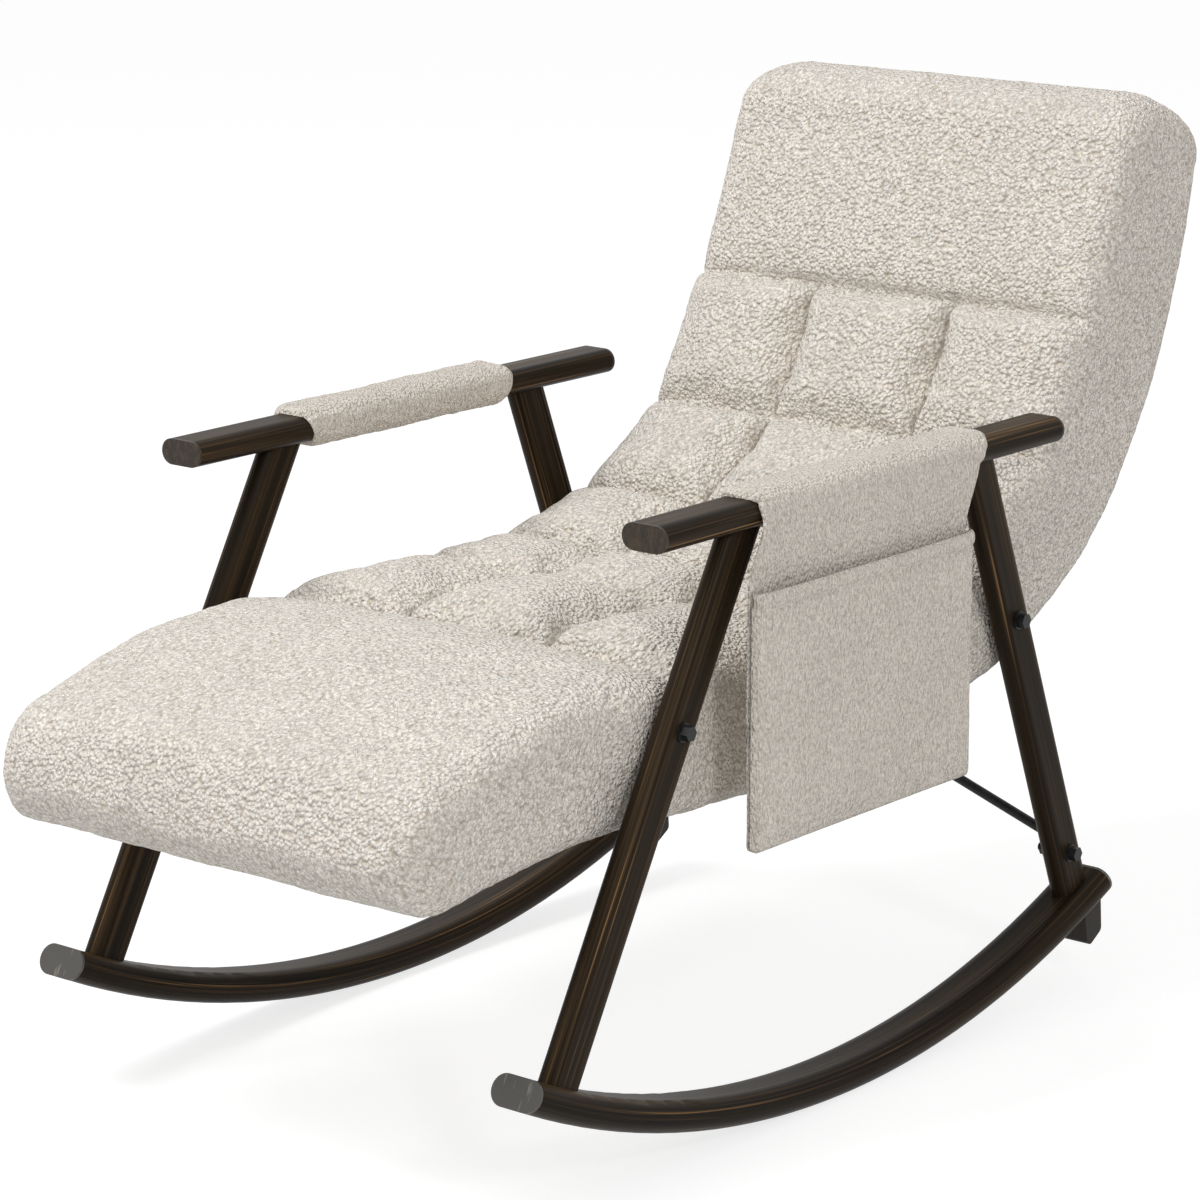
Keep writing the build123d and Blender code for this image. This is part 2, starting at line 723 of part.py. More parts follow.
def roll_profile():
    """Side profile of the front roll, from its seam over the nose and back underneath."""
    top, under = seam_line(seam_front, under_front, -seam_gap / 2)
    with BuildSketch(Plane.YZ) as profile:
        with BuildLine():
            ThreePointArc(top, crown_point(roll_shoulder, top, roll_crown), roll_shoulder)
            ThreePointArc(roll_shoulder, roll_nose, roll_chin)
            Polyline(roll_chin, roll_belly, under, top)
        make_face()
    return profile.sketch


def head_profile():
    """Side profile of the head panel, from its seam over the crest and down the back."""
    top, under = seam_line(seam_head, under_head, seam_gap / 2)
    with BuildSketch(Plane.YZ) as profile:
        with BuildLine():
            ThreePointArc(top, crown_point(top, head_front_top, head_crown), head_front_top)
            ThreePointArc(head_front_top, head_crest, head_rear_top)
            Polyline(head_rear_top, under, top)
        make_face()
    return profile.sketch


def panel_depth(seam, under):
    """Depth of the cross profile, which reaches past the under side."""
    return sqrt((seam[0] - under[0]) ** 2 + (seam[1] - under[1]) ** 2) + row_crown


front_seam = (seam_front, under_front)
seat_seam = (seam_seat_rear, under_seat_rear)
crease = (seam_crease, under_crease)
lumbar_seam = (seam_lumbar, under_lumbar)
head_seam = (seam_head, under_head)

save(
    mattress_panel(
        roll_profile(),
        (roll_shoulder, seam_front),
        panel_depth(*front_seam),
        roll_column,
        seat_room + hinge_rooms,
        roll_nose,
    ),
    "front_roll_cushion",
)
save(
    mattress_panel(
        row_profile([seam_seat], front_seam, seat_seam, row_crown),
        (seam_front, seam_seat_rear),
        panel_depth(*front_seam),
        tuft_columns,
        seat_room + hinge_rooms,
    ),
    "seat_cushion",
)
save(
    mattress_panel(
        row_profile([], seat_seam, crease, row_crown),
        (seam_seat_rear, seam_crease),
        panel_depth(*seat_seam),
        tuft_columns,
        seat_room + hinge_rooms + brace_room,
    ),
    "seat_rear_cushion",
)
save(
    mattress_panel(
        row_profile([], crease, lumbar_seam, row_crown),
        (seam_crease, seam_lumbar),
        panel_depth(*lumbar_seam),
        tuft_columns,
        back_room + hinge_rooms + brace_room,
    ),
    "lumbar_cushion",
)
save(
    mattress_panel(
        row_profile([], lumbar_seam, head_seam, row_crown),
        (seam_lumbar, seam_head),
        panel_depth(*head_seam),
        tuft_columns,
        back_room,
    ),
    "back_cushion",
)
save(
    mattress_panel(
        head_profile(),
        (seam_head, head_front_top),
        panel_depth(*head_seam),
        head_column,
        back_room,
        head_crest,
    ),
    "head_cushion",
)


# Arm pads: cloth sleeves between the legs, with slanted ends
def leg_edge(top, foot, toward):
    """Y of a leg's front or rear edge where it meets the arm."""
    rise = unit(foot, top)[1]
    return on_line(top, foot, arm_underside) + toward * leg_depth / 2 / rise


def arm_pad(x, top_span, rear_gap):
    """Flat-oval sleeve round the arm, longer on top than under the arm."""
    reach = arm_height / 2 + pad_outer_offset
    front = leg_edge(front_leg_top, front_leg_foot, 1) + pad_leg_gap
    rear = leg_edge(rear_leg_top, rear_leg_foot, -1) - rear_gap
    with BuildPart() as pad:
        with BuildSketch(section_plane(x, (top_span[0], arm_level), (1, 0))):
            SlotOverall(arm_width + 2 * pad_outer_offset, arm_height + 2 * pad_outer_offset)
            SlotOverall(
                arm_width + 2 * pad_clearance,
                arm_height + 2 * pad_clearance,
                mode=Mode.SUBTRACT,
            )
        extrude(amount=top_span[1] - top_span[0])
        with BuildSketch(Plane.YZ.offset(x)):
            with BuildLine():
                Polyline(
                    (front, arm_level - reach),
                    (rear, arm_level - reach),
                    (rear, arm_underside),
                    (top_span[1], arm_level + reach),
                    (top_span[0], arm_level + reach),
                    (front, arm_underside),
                    close=True,
                )
            make_face()
        extrude(amount=arm_width, both=True, mode=Mode.INTERSECT)
    return pad.part


save(arm_pad(frame_half_spacing, pad_left_top, pad_left_rear_gap), "arm_pad_left")
save(arm_pad(-frame_half_spacing, pad_right_top, pad_right_rear_gap), "arm_pad_right")

# Side pocket: a backing that hangs from the left pad, a front panel and a gusset between them
backing_inner = pad_outer_face - pocket_panel
front_panel_inner = pad_outer_face + pocket_room
pocket_middle = (pocket_front_edge + pocket_rear_edge) / 2
pocket_length = pocket_rear_edge - pocket_front_edge


def pocket_sheet(x, thickness, top):
    """Flat cloth panel with rounded lower corners."""
    with BuildPart() as sheet:
        with BuildSketch(Plane.YZ.offset(x)) as outline:
            with Locations((pocket_middle, (top + pocket_bottom) / 2)):
                Rectangle(pocket_length, top - pocket_bottom)
            fillet(outline.vertices().group_by(Axis.Y)[0], pocket_corner)
        extrude(amount=thickness)
    return sheet.part


with BuildPart() as pocket_backing:
    add(pocket_sheet(backing_inner, pocket_panel, pocket_top))
    with BuildSketch(section_plane(frame_half_spacing, (pocket_front_edge, arm_level), (1, 0))):
        SlotOverall(
            arm_width + 2 * (pad_outer_offset + pad_clearance),
            arm_height + 2 * (pad_outer_offset + pad_clearance),
        )
    extrude(amount=pocket_length, mode=Mode.SUBTRACT)
save(pocket_backing.part, "pocket_backing")
save(pocket_sheet(front_panel_inner, pocket_panel, pocket_mouth), "pocket_front")

with BuildPart() as pocket_gusset:
    add(pocket_sheet(pad_outer_face, pocket_room, pocket_mouth))
    with BuildSketch(Plane.YZ.offset(pad_outer_face)) as room:
        with Locations((pocket_middle, (pocket_mouth + pocket_bottom) / 2 + pocket_panel)):
            Rectangle(pocket_length - 2 * pocket_panel, pocket_mouth - pocket_bottom)
        fillet(room.vertices().group_by(Axis.Y)[0], pocket_corner - pocket_panel)
    extrude(amount=pocket_room, mode=Mode.SUBTRACT)
save(pocket_gusset.part, "pocket_gusset")

with BuildPart() as pocket_hem:
    with BuildSketch(Plane.YZ.offset(front_panel_inner + pocket_panel)):
        with Locations((pocket_middle, pocket_mouth - hem_height / 2)):
            RectangleRounded(pocket_length, hem_height, hem_height / 4)
    extrude(amount=hem_proud)
save(pocket_hem.part, "pocket_hem")
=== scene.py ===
from math import pi, radians

import bmesh
import bpy
import numpy as np
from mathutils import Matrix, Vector, noise

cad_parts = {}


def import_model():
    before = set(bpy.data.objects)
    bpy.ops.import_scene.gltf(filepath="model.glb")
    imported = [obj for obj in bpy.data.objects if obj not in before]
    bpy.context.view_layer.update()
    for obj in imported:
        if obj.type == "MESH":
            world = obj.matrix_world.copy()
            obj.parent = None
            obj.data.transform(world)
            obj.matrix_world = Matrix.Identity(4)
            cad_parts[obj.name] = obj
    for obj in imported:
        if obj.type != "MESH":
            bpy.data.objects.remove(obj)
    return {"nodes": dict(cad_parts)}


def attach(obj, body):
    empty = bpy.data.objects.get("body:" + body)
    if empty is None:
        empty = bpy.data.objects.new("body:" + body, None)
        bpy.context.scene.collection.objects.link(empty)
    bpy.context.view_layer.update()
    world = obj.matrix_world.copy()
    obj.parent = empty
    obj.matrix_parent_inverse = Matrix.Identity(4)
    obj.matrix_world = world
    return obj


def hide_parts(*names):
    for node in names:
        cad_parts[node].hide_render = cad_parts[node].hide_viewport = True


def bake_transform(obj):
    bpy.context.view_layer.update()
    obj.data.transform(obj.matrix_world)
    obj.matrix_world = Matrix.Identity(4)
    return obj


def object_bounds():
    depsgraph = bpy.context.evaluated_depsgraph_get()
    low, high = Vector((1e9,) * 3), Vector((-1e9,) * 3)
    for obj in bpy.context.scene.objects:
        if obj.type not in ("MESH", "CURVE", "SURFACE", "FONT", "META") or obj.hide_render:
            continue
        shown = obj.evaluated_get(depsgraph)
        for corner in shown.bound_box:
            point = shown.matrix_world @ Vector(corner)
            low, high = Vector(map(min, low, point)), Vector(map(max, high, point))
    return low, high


# Metres throughout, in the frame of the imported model.
# +Z is up, the sitter faces -Y, and +X is on the sitter's left.

# Camera
IMAGE_SIDE = 1200
FOCAL_PIXELS = 4425.0
SENSOR = 0.036
CAMERA_PLACE = (2.613, -3.2035, 1.4504)
CAMERA_TILT = 13.87
CAMERA_TURN = 39.34

# Light and floor
WORLD_LEVEL = 0.58
KEY_PLACE = (-1.4, -2.3, 4.5)
KEY_SIDE = 2.0
KEY_POWER = 136.0
FILL_PLACE = (3.5, -1.6, 2.6)
FILL_SIDE = 0.6
FILL_POWER = 34.0
FLOOR_SIDE = 60.0
FLOOR_COLOUR = 0.72
FLOOR_SEEN_COLOUR = 0.36
FLOOR_LIFT = 0.76

# Side frames
FRAME_HALF_SPACING = 0.280
ROCKER_RADIUS = 1.065
ARM_LEVEL = 0.585
ARM_WIDTH = 0.050
ARM_HEIGHT = 0.025
FRONT_LEG = ((-0.162, 0.572), (-0.417, 0.114))
REAR_LEG = ((0.203, 0.572), (0.386, 0.105))

# Mattress ribs from the front roll to the head, as (Y, Z) on the upper and on the under side
ROLL_TIP = (-0.584, 0.343)
ROLL_END = ((-0.524, 0.407), (-0.522, 0.290))
ROLL_MIDDLE = ((-0.395, 0.440), (-0.395, 0.306))
ROLL_BACK = ((-0.285, 0.446), (-0.290, 0.309))
SEAM_FRONT = ((-0.207, 0.436), (-0.207, 0.305))
SEAM_SEAT = ((-0.020, 0.426), (-0.030, 0.296))
SEAM_SEAT_REAR = ((0.109, 0.430), (0.125, 0.305))
SEAM_CREASE = ((0.249, 0.463), (0.299, 0.343))
SEAM_LUMBAR = ((0.369, 0.540), (0.463, 0.430))
SEAM_HEAD = ((0.444, 0.669), (0.576, 0.583))
HEAD_MIDDLE = ((0.481, 0.764), (0.624, 0.703))
HEAD_END = ((0.512, 0.838), (0.653, 0.812))
HEAD_TIP = (0.590, 0.8775)
RIBS = (ROLL_END, ROLL_MIDDLE, ROLL_BACK, SEAM_FRONT, SEAM_SEAT, SEAM_SEAT_REAR, SEAM_CREASE)
RIBS += (SEAM_LUMBAR, SEAM_HEAD, HEAD_MIDDLE, HEAD_END)
SEAMS = (SEAM_FRONT, SEAM_SEAT, SEAM_SEAT_REAR, SEAM_CREASE, SEAM_LUMBAR, SEAM_HEAD)
SEAT_HALF_WIDTH = 0.2550
BACK_HALF_WIDTH = 0.2512
ROLL_CORNER = 0.034
HEAD_CORNER = 0.052
TOP_EDGE_RADIUS = 0.032
UNDER_EDGE_RADIUS = 0.022
EDGE_SHARE = 0.48
CAP_FADE = 0.090

# Tufts between the sewn seams
COLUMN_SEAM = 0.086
SEAT_TUFT = 0.034
BACK_TUFT = 0.026
SEAT_SIDE_LESS = 0.44
BACK_SIDE_LESS = 0.06
SIDE_FALL_START = 0.080
SIDE_FALL_END = 0.010
SEAT_ROUNDING = 0.046
BACK_ROUNDING = 0.034
SEAM_DEPTH = 0.006
SEAM_WIDTH = 0.0035
ROLL_CROWN = 0.018
ROLL_ROUNDING = 0.075
HEAD_CROWN = 0.017
HEAD_EVEN = 0.45
HEAD_ROUNDING = 0.034
SIDE_TOUCH = 0.2644
SIDE_TOUCH_REACH = 0.050
SIDE_TOUCHES = ((-0.256, 0.398), (0.274, 0.393))

# Mesh steps of the mattress
RIB_STEP = 0.0072
CAP_RIBS = 14
INNER_SAMPLES = 23
OUTER_SAMPLES = 15
EDGE_SAMPLES = 6
BORDER_SAMPLES = 9
UNDER_SAMPLES = 25

# Filling of the tufts by cloth pressure
FILL_START = 0.75
FILL_PRESSURE = 5.0
FILL_SLACK = 0.04
FILL_FRAMES = 20
FILL_CAP_SEAT = 0.020
FILL_CAP_BACK = 0.008
SEWN_REACH = 0.0020
SWELL_DEPTH = 0.0022
SWELL_SCALE = 11.0
SMALL_SWELL_DEPTH = 0.0010
SMALL_SWELL_SCALE = 34.0
CLUMP_SIZE = 0.0075
CLUMP_DEPTH = 0.0009

# Arm covers and pocket
PAD_THICKNESS = 0.0072
PAD_TOP_EXTRA = 0.0020
PAD_INNER_LESS = 0.0044
PAD_GAP = 0.0004
PAD_END = 0.011
PAD_SWELL = 0.0011
PAD_SWELL_SCALE = 30.0
PAD_SWELL_SPREAD = 0.02
PAD_INNER_FACE = -0.2
PAD_LEFT_TOP = (-0.165, 0.193)
PAD_LEFT_UNDER = (-0.140, 0.170)
PAD_RIGHT_TOP = (-0.146, 0.160)
PAD_RIGHT_UNDER = (-0.138, 0.152)
SLEEVE_SAMPLES = 72
SLEEVE_STATIONS = 76
SLEEVE_ROLL = 8
PANEL_THICKNESS = 0.005
PANEL_BOTTOM = 0.279
PANEL_FRONT = -0.188
PANEL_REAR = 0.148
PANEL_FLARE = 0.022
PANEL_TOP = ARM_LEVEL + 0.012
PANEL_LEAN = 0.006
PANEL_LEAN_START = ARM_LEVEL - 0.006
PANEL_HANG = 0.06
PANEL_SOFT_EDGE = 0.004
PANEL_SWAY = (0.0016, 9.0)
POCKET_SWAY = (0.0018, 10.0)
PANEL_SMALL_SWAY = (0.0006, 40.0)
POCKET_SMALL_SWAY = (0.0006, 45.0)
POCKET_MOUTH = 0.520
POCKET_BULGE = 0.0105
POCKET_CORNER = 0.009
HEM_HEIGHT = 0.015
HEM_ROLL = 0.0026
HEM_STITCH_DEPTH = 0.0014
HEM_STITCH_WIDTH = 0.0018
POCKET_TIGHT_EDGE = 0.009
POCKET_TIGHT_SHARE = 0.45
POCKET_LOOSE_EDGE = 0.040
POCKET_LOOSE_SHARE = 0.55
POCKET_SEAM_PLACE = 0.011
POCKET_SEAM_DEPTH = 0.0008
POCKET_SEAM_WIDTH = 0.0030
POCKET_CLEARANCE = 0.0012
POCKET_CLOTH_OUTER = 0.0012
POCKET_CLOTH_INNER = 0.0024
SHEET_ROWS = 88
SHEET_COLUMNS = 94

# Looks
FLEECE_BEND_SCALE = 0.62
FLEECE_BEND = 0.85
FLEECE_NUB_SMOOTHNESS = 0.3
FLEECE_TONE_SCALE = 16.0
FILM_BROAD_STREAKS = (1.6, 90.0, 90.0)
FILM_FINE_STREAKS = (2.4, 330.0, 330.0)
FILM_DARK = (0.0070, 0.0047, 0.0026)
FILM_MIDDLE = (0.0220, 0.0143, 0.0076)
FILM_LIGHT = (0.066, 0.040, 0.019)
FILM_BROWN = (0.085, 0.052, 0.026)
FILM_GOLD = (0.30, 0.165, 0.062)
FILM_GRAIN_DEPTH = 0.00006
SPECKLE_SCALE = 900.0
MOTTLE_SCALE = 120.0
CAP_STREAKS = (18.0, 260.0, 260.0)
CAP_SLANT = (0.5, 0.86)
STRAP_RIB_SCALE = 140.0
STRAP_PICK_SCALE = 90.0
STRAP_DARK = (0.03, 0.03, 0.033)
STRAP_LIGHT = (0.10, 0.10, 0.105)

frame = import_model()
cad_low, cad_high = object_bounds()
nodes = frame["nodes"]


# Shader helpers
class Shader:
    """A material's node tree, with short calls for the nodes used below."""

    def __init__(self, name):
        self.material = bpy.data.materials.new(name)
        self.material.use_nodes = True
        self.tree = self.material.node_tree
        self.surface = self.tree.nodes["Principled BSDF"]

    def node(self, kind, **values):
        made = self.tree.nodes.new(kind)
        for key, value in values.items():
            setattr(made, key, value)
        return made

    def link(self, source, target):
        self.tree.links.new(source, target)

    def feed(self, value, socket):
        """Sets a socket from a number or colour, or links another socket to it."""
        if isinstance(value, (int, float)):
            socket.default_value = value
        elif isinstance(value, tuple):
            socket.default_value = (*value, 1.0) if len(socket.default_value) > len(value) else value
        else:
            self.link(value, socket)

    def set(self, name, value):
        self.feed(value, self.surface.inputs[name])

    def place(self):
        return self.node("ShaderNodeTexCoord").outputs["Object"]

    def math(self, operation, first, second=0.5):
        made = self.node("ShaderNodeMath", operation=operation)
        self.feed(first, made.inputs[0])
        self.feed(second, made.inputs[1])
        return made.outputs[0]

    def vector(self, operation, first, second):
        made = self.node("ShaderNodeVectorMath", operation=operation)
        self.feed(first, made.inputs[0])
        self.feed(second, made.inputs[1])
        return made.outputs["Value" if operation == "DOT_PRODUCT" else "Vector"]

    def noise(self, where, scale, detail=2.0, roughness=0.5):
        made = self.node("ShaderNodeTexNoise")
        self.link(where, made.inputs["Vector"])
        made.inputs["Scale"].default_value = scale
        made.inputs["Detail"].default_value = detail
        made.inputs["Roughness"].default_value = roughness
        return made

    def nubs(self, where, scale, smoothness):
        """Round tops that meet in soft valleys."""
        made = self.node("ShaderNodeTexVoronoi", feature="SMOOTH_F1")
        self.link(where, made.inputs["Vector"])
        made.inputs["Scale"].default_value = scale
        made.inputs["Smoothness"].default_value = smoothness
        return self.math("SUBTRACT", 1.0, made.outputs["Distance"])

    def ramp(self, factor, stops):
        made = self.node("ShaderNodeValToRGB")
        self.link(factor, made.inputs["Fac"])
        elements = made.color_ramp.elements
        while len(elements) < len(stops):
            elements.new(0.5)
        for element, (position, colour) in zip(elements, stops):
            element.position = position
            shade = colour if isinstance(colour, tuple) else (colour,) * 3
            element.color = (*shade, 1.0)
        return made.outputs["Color"]

    def mix(self, factor, first, second, blend="MIX"):
        made = self.node("ShaderNodeMix", data_type="RGBA", blend_type=blend)
        sockets = {socket.identifier: socket for socket in made.inputs}
        self.feed(factor, sockets["Factor_Float"])
        self.feed(first, sockets["A_Color"])
        self.feed(second, sockets["B_Color"])
        return next(socket for socket in made.outputs if socket.identifier == "Result_Color")

    def bump(self, height, distance, strength=1.0):
        made = self.node("ShaderNodeBump")
        made.inputs["Strength"].default_value = strength
        made.inputs["Distance"].default_value = distance
        self.link(height, made.inputs["Height"])
        return made.outputs["Normal"]


def fleece(name, nub_size, nub_depth, top, painted_valley_shade, nap=1.0):
    """Curly pile: small bent nubs with painted shade in the valleys between them, and slow changes of
    tone.
    """
    shader = Shader(name)
    place = shader.vector("MULTIPLY", shader.place(), (1.0, 1.0, nap))
    bend = shader.noise(place, FLEECE_BEND_SCALE / nub_size, 2.0).outputs["Color"]
    offset = shader.vector("MULTIPLY", bend, (nub_size * FLEECE_BEND,) * 3)
    bent = shader.vector("ADD", place, offset)
    height = shader.nubs(bent, 1.0 / nub_size, FLEECE_NUB_SMOOTHNESS)
    slow = shader.noise(place, FLEECE_TONE_SCALE, 3.0).outputs["Fac"]
    # Painted shade: the valleys between the nubs get a darker colour than the tops, on top of the
    # bump's own shading.
    pile_with_painted_shade = shader.ramp(height, [(0.14, painted_valley_shade), (0.52, top)])
    tone = shader.ramp(slow, [(0.30, 0.94), (0.70, 1.0)])
    shader.set("Base Color", shader.mix(1.0, pile_with_painted_shade, tone, "MULTIPLY"))
    shader.set("Normal", shader.bump(height, nub_depth))
    shader.set("Roughness", 0.95)
    shader.set("Sheen Weight", 0.30)
    shader.set("Sheen Roughness", 0.6)
    shader.set("Specular IOR Level", 0.10)
    return shader.material


def along_axis(shader, direction):
    """Coordinates whose x runs along a straight tube."""
    across_tube = Vector((1.0, 0.0, 0.0))
    axis = Vector((0.0, *direction)).normalized()
    place = shader.place()
    made = shader.node("ShaderNodeCombineXYZ")
    for index, line in enumerate((axis, across_tube, axis.cross(across_tube))):
        shader.link(shader.vector("DOT_PRODUCT", place, tuple(line)), made.inputs[index])
    return made.outputs[0]


def along_rocker(shader):
    """Coordinates whose x runs along the curve of a rocker."""
    split = shader.node("ShaderNodeSeparateXYZ")
    shader.link(shader.place(), split.inputs[0])
    level = split.outputs["Y"]
    depth = shader.math("SUBTRACT", ROCKER_RADIUS, split.outputs["Z"])
    turn = shader.math("ARCTAN2", level, depth)
    depth_square = shader.math("MULTIPLY", depth, depth)
    level_square = shader.math("MULTIPLY", level, level)
    squares = shader.math("ADD", depth_square, level_square)
    made = shader.node("ShaderNodeCombineXYZ")
    shader.link(shader.math("MULTIPLY", turn, ROCKER_RADIUS), made.inputs[0])
    shader.link(split.outputs["X"], made.inputs[1])
    shader.link(shader.math("SQRT", squares), made.inputs[2])
    return made.outputs[0]


def ebony(name, coordinates):
    """Dark wood-grain film on tube: brown and golden streaks that run along the tube."""
    shader = Shader(name)
    where = coordinates(shader)
    broad_place = shader.vector("MULTIPLY", where, FILM_BROAD_STREAKS)
    broad = shader.noise(broad_place, 1.0, 3.0, 0.6).outputs["Fac"]
    fine_place = shader.vector("MULTIPLY", where, FILM_FINE_STREAKS)
    fine = shader.noise(fine_place, 1.0, 2.0, 0.6).outputs["Fac"]
    base = shader.ramp(broad, [(0.32, FILM_DARK), (0.54, FILM_MIDDLE), (0.74, FILM_LIGHT)])
    brown = shader.ramp(fine, [(0.52, 0.0), (0.68, 0.60)])
    colour = shader.mix(brown, base, FILM_BROWN)
    gold = shader.ramp(fine, [(0.66, 0.0), (0.73, 0.70)])
    shader.set("Base Color", shader.mix(gold, colour, FILM_GOLD))
    shader.set("Roughness", shader.ramp(broad, [(0.3, 0.34), (0.7, 0.44)]))
    shader.set("Normal", shader.bump(fine, FILM_GRAIN_DEPTH, 0.6))
    shader.set("Specular IOR Level", 0.06)
    return shader.material


def moulded(name, dark, light, rough, grain, streak=None, edges=(0.38, 0.70)):
    """Moulded or coated surface with fine grain, and slanting streaks where asked."""
    shader = Shader(name)
    place = shader.place()
    speckle = shader.noise(place, SPECKLE_SCALE, 2.0).outputs["Fac"]
    scale = MOTTLE_SCALE
    if streak:
        place = shader.vector("MULTIPLY", along_axis(shader, streak), CAP_STREAKS)
        scale = 1.0
    tone = shader.noise(place, scale, 3.0, 0.6).outputs["Fac"]
    shader.set("Base Color", shader.ramp(tone, [(edges[0], dark), (edges[1], light)]))
    shader.set("Roughness", shader.ramp(tone, [(0.3, rough - 0.06), (0.7, rough + 0.08)]))
    shader.set("Normal", shader.bump(speckle, grain, 0.6))
    shader.set("Specular IOR Level", 0.30)
    return shader.material


def webbing(name):
    """Woven elastic strap: two crossing sets of ribs."""
    shader = Shader(name)
    place = shader.place()
    ribs = shader.node("ShaderNodeTexWave", bands_direction="X")
    shader.link(place, ribs.inputs["Vector"])
    ribs.inputs["Scale"].default_value = STRAP_RIB_SCALE
    picks = shader.node("ShaderNodeTexWave", bands_direction="Y")
    shader.link(place, picks.inputs["Vector"])
    picks.inputs["Scale"].default_value = STRAP_PICK_SCALE
    weave = shader.math("MULTIPLY", ribs.outputs["Fac"], picks.outputs["Fac"])
    shader.set("Base Color", shader.ramp(weave, [(0.0, STRAP_DARK), (1.0, STRAP_LIGHT)]))
    shader.set("Normal", shader.bump(weave, 0.0004))
    shader.set("Roughness", 0.9)
    return shader.material


# Mesh helpers
def make_piece(name, points, faces, materials, face_materials=None):
    """A smooth-shaded mesh object."""
    mesh = bpy.data.meshes.new(name)
    mesh.from_pydata([tuple(p) for p in points], [], [tuple(f) for f in faces])
    for material in materials:
        mesh.materials.append(material)
    if face_materials is not None:
        mesh.polygons.foreach_set("material_index", face_materials)
    piece = bpy.data.objects.new(name, mesh)
    bpy.context.scene.collection.objects.link(piece)
    return piece


def tidy(piece):
    """Joins points that coincide, turns all faces outward and shades them smooth."""
    shape = bmesh.new()
    shape.from_mesh(piece.data)
    bmesh.ops.remove_doubles(shape, verts=shape.verts, dist=1e-6)
    bmesh.ops.recalc_face_normals(shape, faces=shape.faces)
    for face in shape.faces:
        face.smooth = True
    shape.to_mesh(piece.data)
    shape.free()


def ring_faces(rings, count):
    """Quads between successive closed rings of points."""
    faces = []
    for ring in range(rings - 1):
        for i in range(count):
            j = (i + 1) % count
            near = ring * count
            far = near + count
            faces.append((near + i, near + j, far + j, far + i))
    return faces


def lumps(points, scale, seed):
    """Smooth noise at each point, from about -1 to 1."""
    return np.array([noise.noise(Vector(p) * scale + Vector((seed, 0.0, 0.0))) for p in points])


def smooth(value, low, high):
    """Smooth step from 0 at low to 1 at high."""
    share = np.clip((value - low) / (high - low), 0.0, 1.0)
    return share * share * (3 - 2 * share)


def rounding(distance, reach):
    """Quarter-round rise from 0 at a seam to 1 at a distance from it."""
    return np.sqrt(1 - (1 - np.minimum(distance / reach, 1.0)) ** 2)


# Mattress
def curve_point(keys, k, share):
    """Point on a smooth curve through the keys, between key k and the next."""
    spans = np.linalg.norm(np.diff(keys, axis=0), axis=1)

    def slope(i):
        if i == 0:
            return (keys[1] - keys[0]) / spans[0]
        if i == len(keys) - 1:
            return (keys[-1] - keys[-2]) / spans[-1]
        before = (keys[i] - keys[i - 1]) / spans[i - 1]
        after = (keys[i + 1] - keys[i]) / spans[i]
        return (before * spans[i] + after * spans[i - 1]) / (spans[i] + spans[i - 1])

    leave = share**3 - 2 * share**2 + share
    arrive = share**3 - share**2
    ahead = 3 * share**2 - 2 * share**3
    turns = leave * slope(k) + arrive * slope(k + 1)
    return (1 - ahead) * keys[k] + ahead * keys[k + 1] + spans[k] * turns


def rib_points():
    """Upper and under points of the ribs between the two ends, closer together at the key ribs."""
    tops = np.array([rib[0] for rib in RIBS])
    unders = np.array([rib[1] for rib in RIBS])
    upper, under, seam_rows = [], [], []
    for k, length in enumerate(np.linalg.norm(np.diff(tops, axis=0), axis=1)):
        if RIBS[k] in SEAMS:
            seam_rows.append(len(upper))
        count = int(round(length / RIB_STEP))
        for step in range(count):
            share = (step / count + (1 - np.cos(pi * step / count)) / 2) / 2
            upper.append(curve_point(tops, k, share))
            under.append(curve_point(unders, k, share))
    return np.array(upper), np.array(under), np.array(seam_rows)


def end_ribs(top, low, tip, corner):
    """Ribs of a rounded end from its tip inward, with how far each draws in from the sides."""
    middle = (top + low) / 2
    reach = np.array(tip) - middle
    turn = np.linspace(0.0, pi / 2, CAP_RIBS, endpoint=False)[:, None]
    tops = middle + (top - middle) * np.sin(turn) + reach * np.cos(turn)
    lows = middle + (low - middle) * np.sin(turn) + reach * np.cos(turn)
    return tops, lows, corner * (1 - np.sin(turn[:, 0]))


def rib_loop(half, thick):
    """Closed loop of one rib as rows of X, depth, share of the top and share of the side."""
    top_radius = min(TOP_EDGE_RADIUS, EDGE_SHARE * thick)
    low_radius = min(UNDER_EDGE_RADIUS, EDGE_SHARE * thick)
    inner = COLUMN_SEAM * np.sin(np.linspace(-pi / 2, pi / 2, INNER_SAMPLES))
    spread = 1 - np.cos(np.linspace(0, pi / 2, OUTER_SAMPLES)[1:])
    outer = COLUMN_SEAM + (half - top_radius - COLUMN_SEAM) * spread
    top = np.concatenate([-outer[::-1], inner, outer])
    turn = np.linspace(pi / 2, 0.0, EDGE_SAMPLES + 1)[1:]
    back = turn[::-1]
    level = np.linspace(-top_radius, low_radius - thick, BORDER_SAMPLES + 2)[1:-1]
    under = np.linspace(half - low_radius, low_radius - half, UNDER_SAMPLES)
    top_edge = [
        half - top_radius * (1 - np.cos(turn)),
        top_radius * (np.sin(turn) - 1),
        np.sin(turn),
        np.cos(turn),
    ]
    border = [half + 0 * level, level, 0 * level, 1 + 0 * level]
    low_edge = [
        half - low_radius * (1 - np.cos(back)),
        low_radius * (1 - np.sin(back)) - thick,
        0 * back,
        np.cos(back),
    ]
    right = np.concatenate([np.stack(part, axis=1) for part in (top_edge, border, low_edge)])
    return np.concatenate(
        [
            np.stack([top, 0 * top, 1 + 0 * top, 0 * top], axis=1),
            right,
            np.stack([under, 0 * under - thick, 0 * under, 0 * under], axis=1),
            right[::-1] * (-1, 1, 1, 1),
        ]
    )


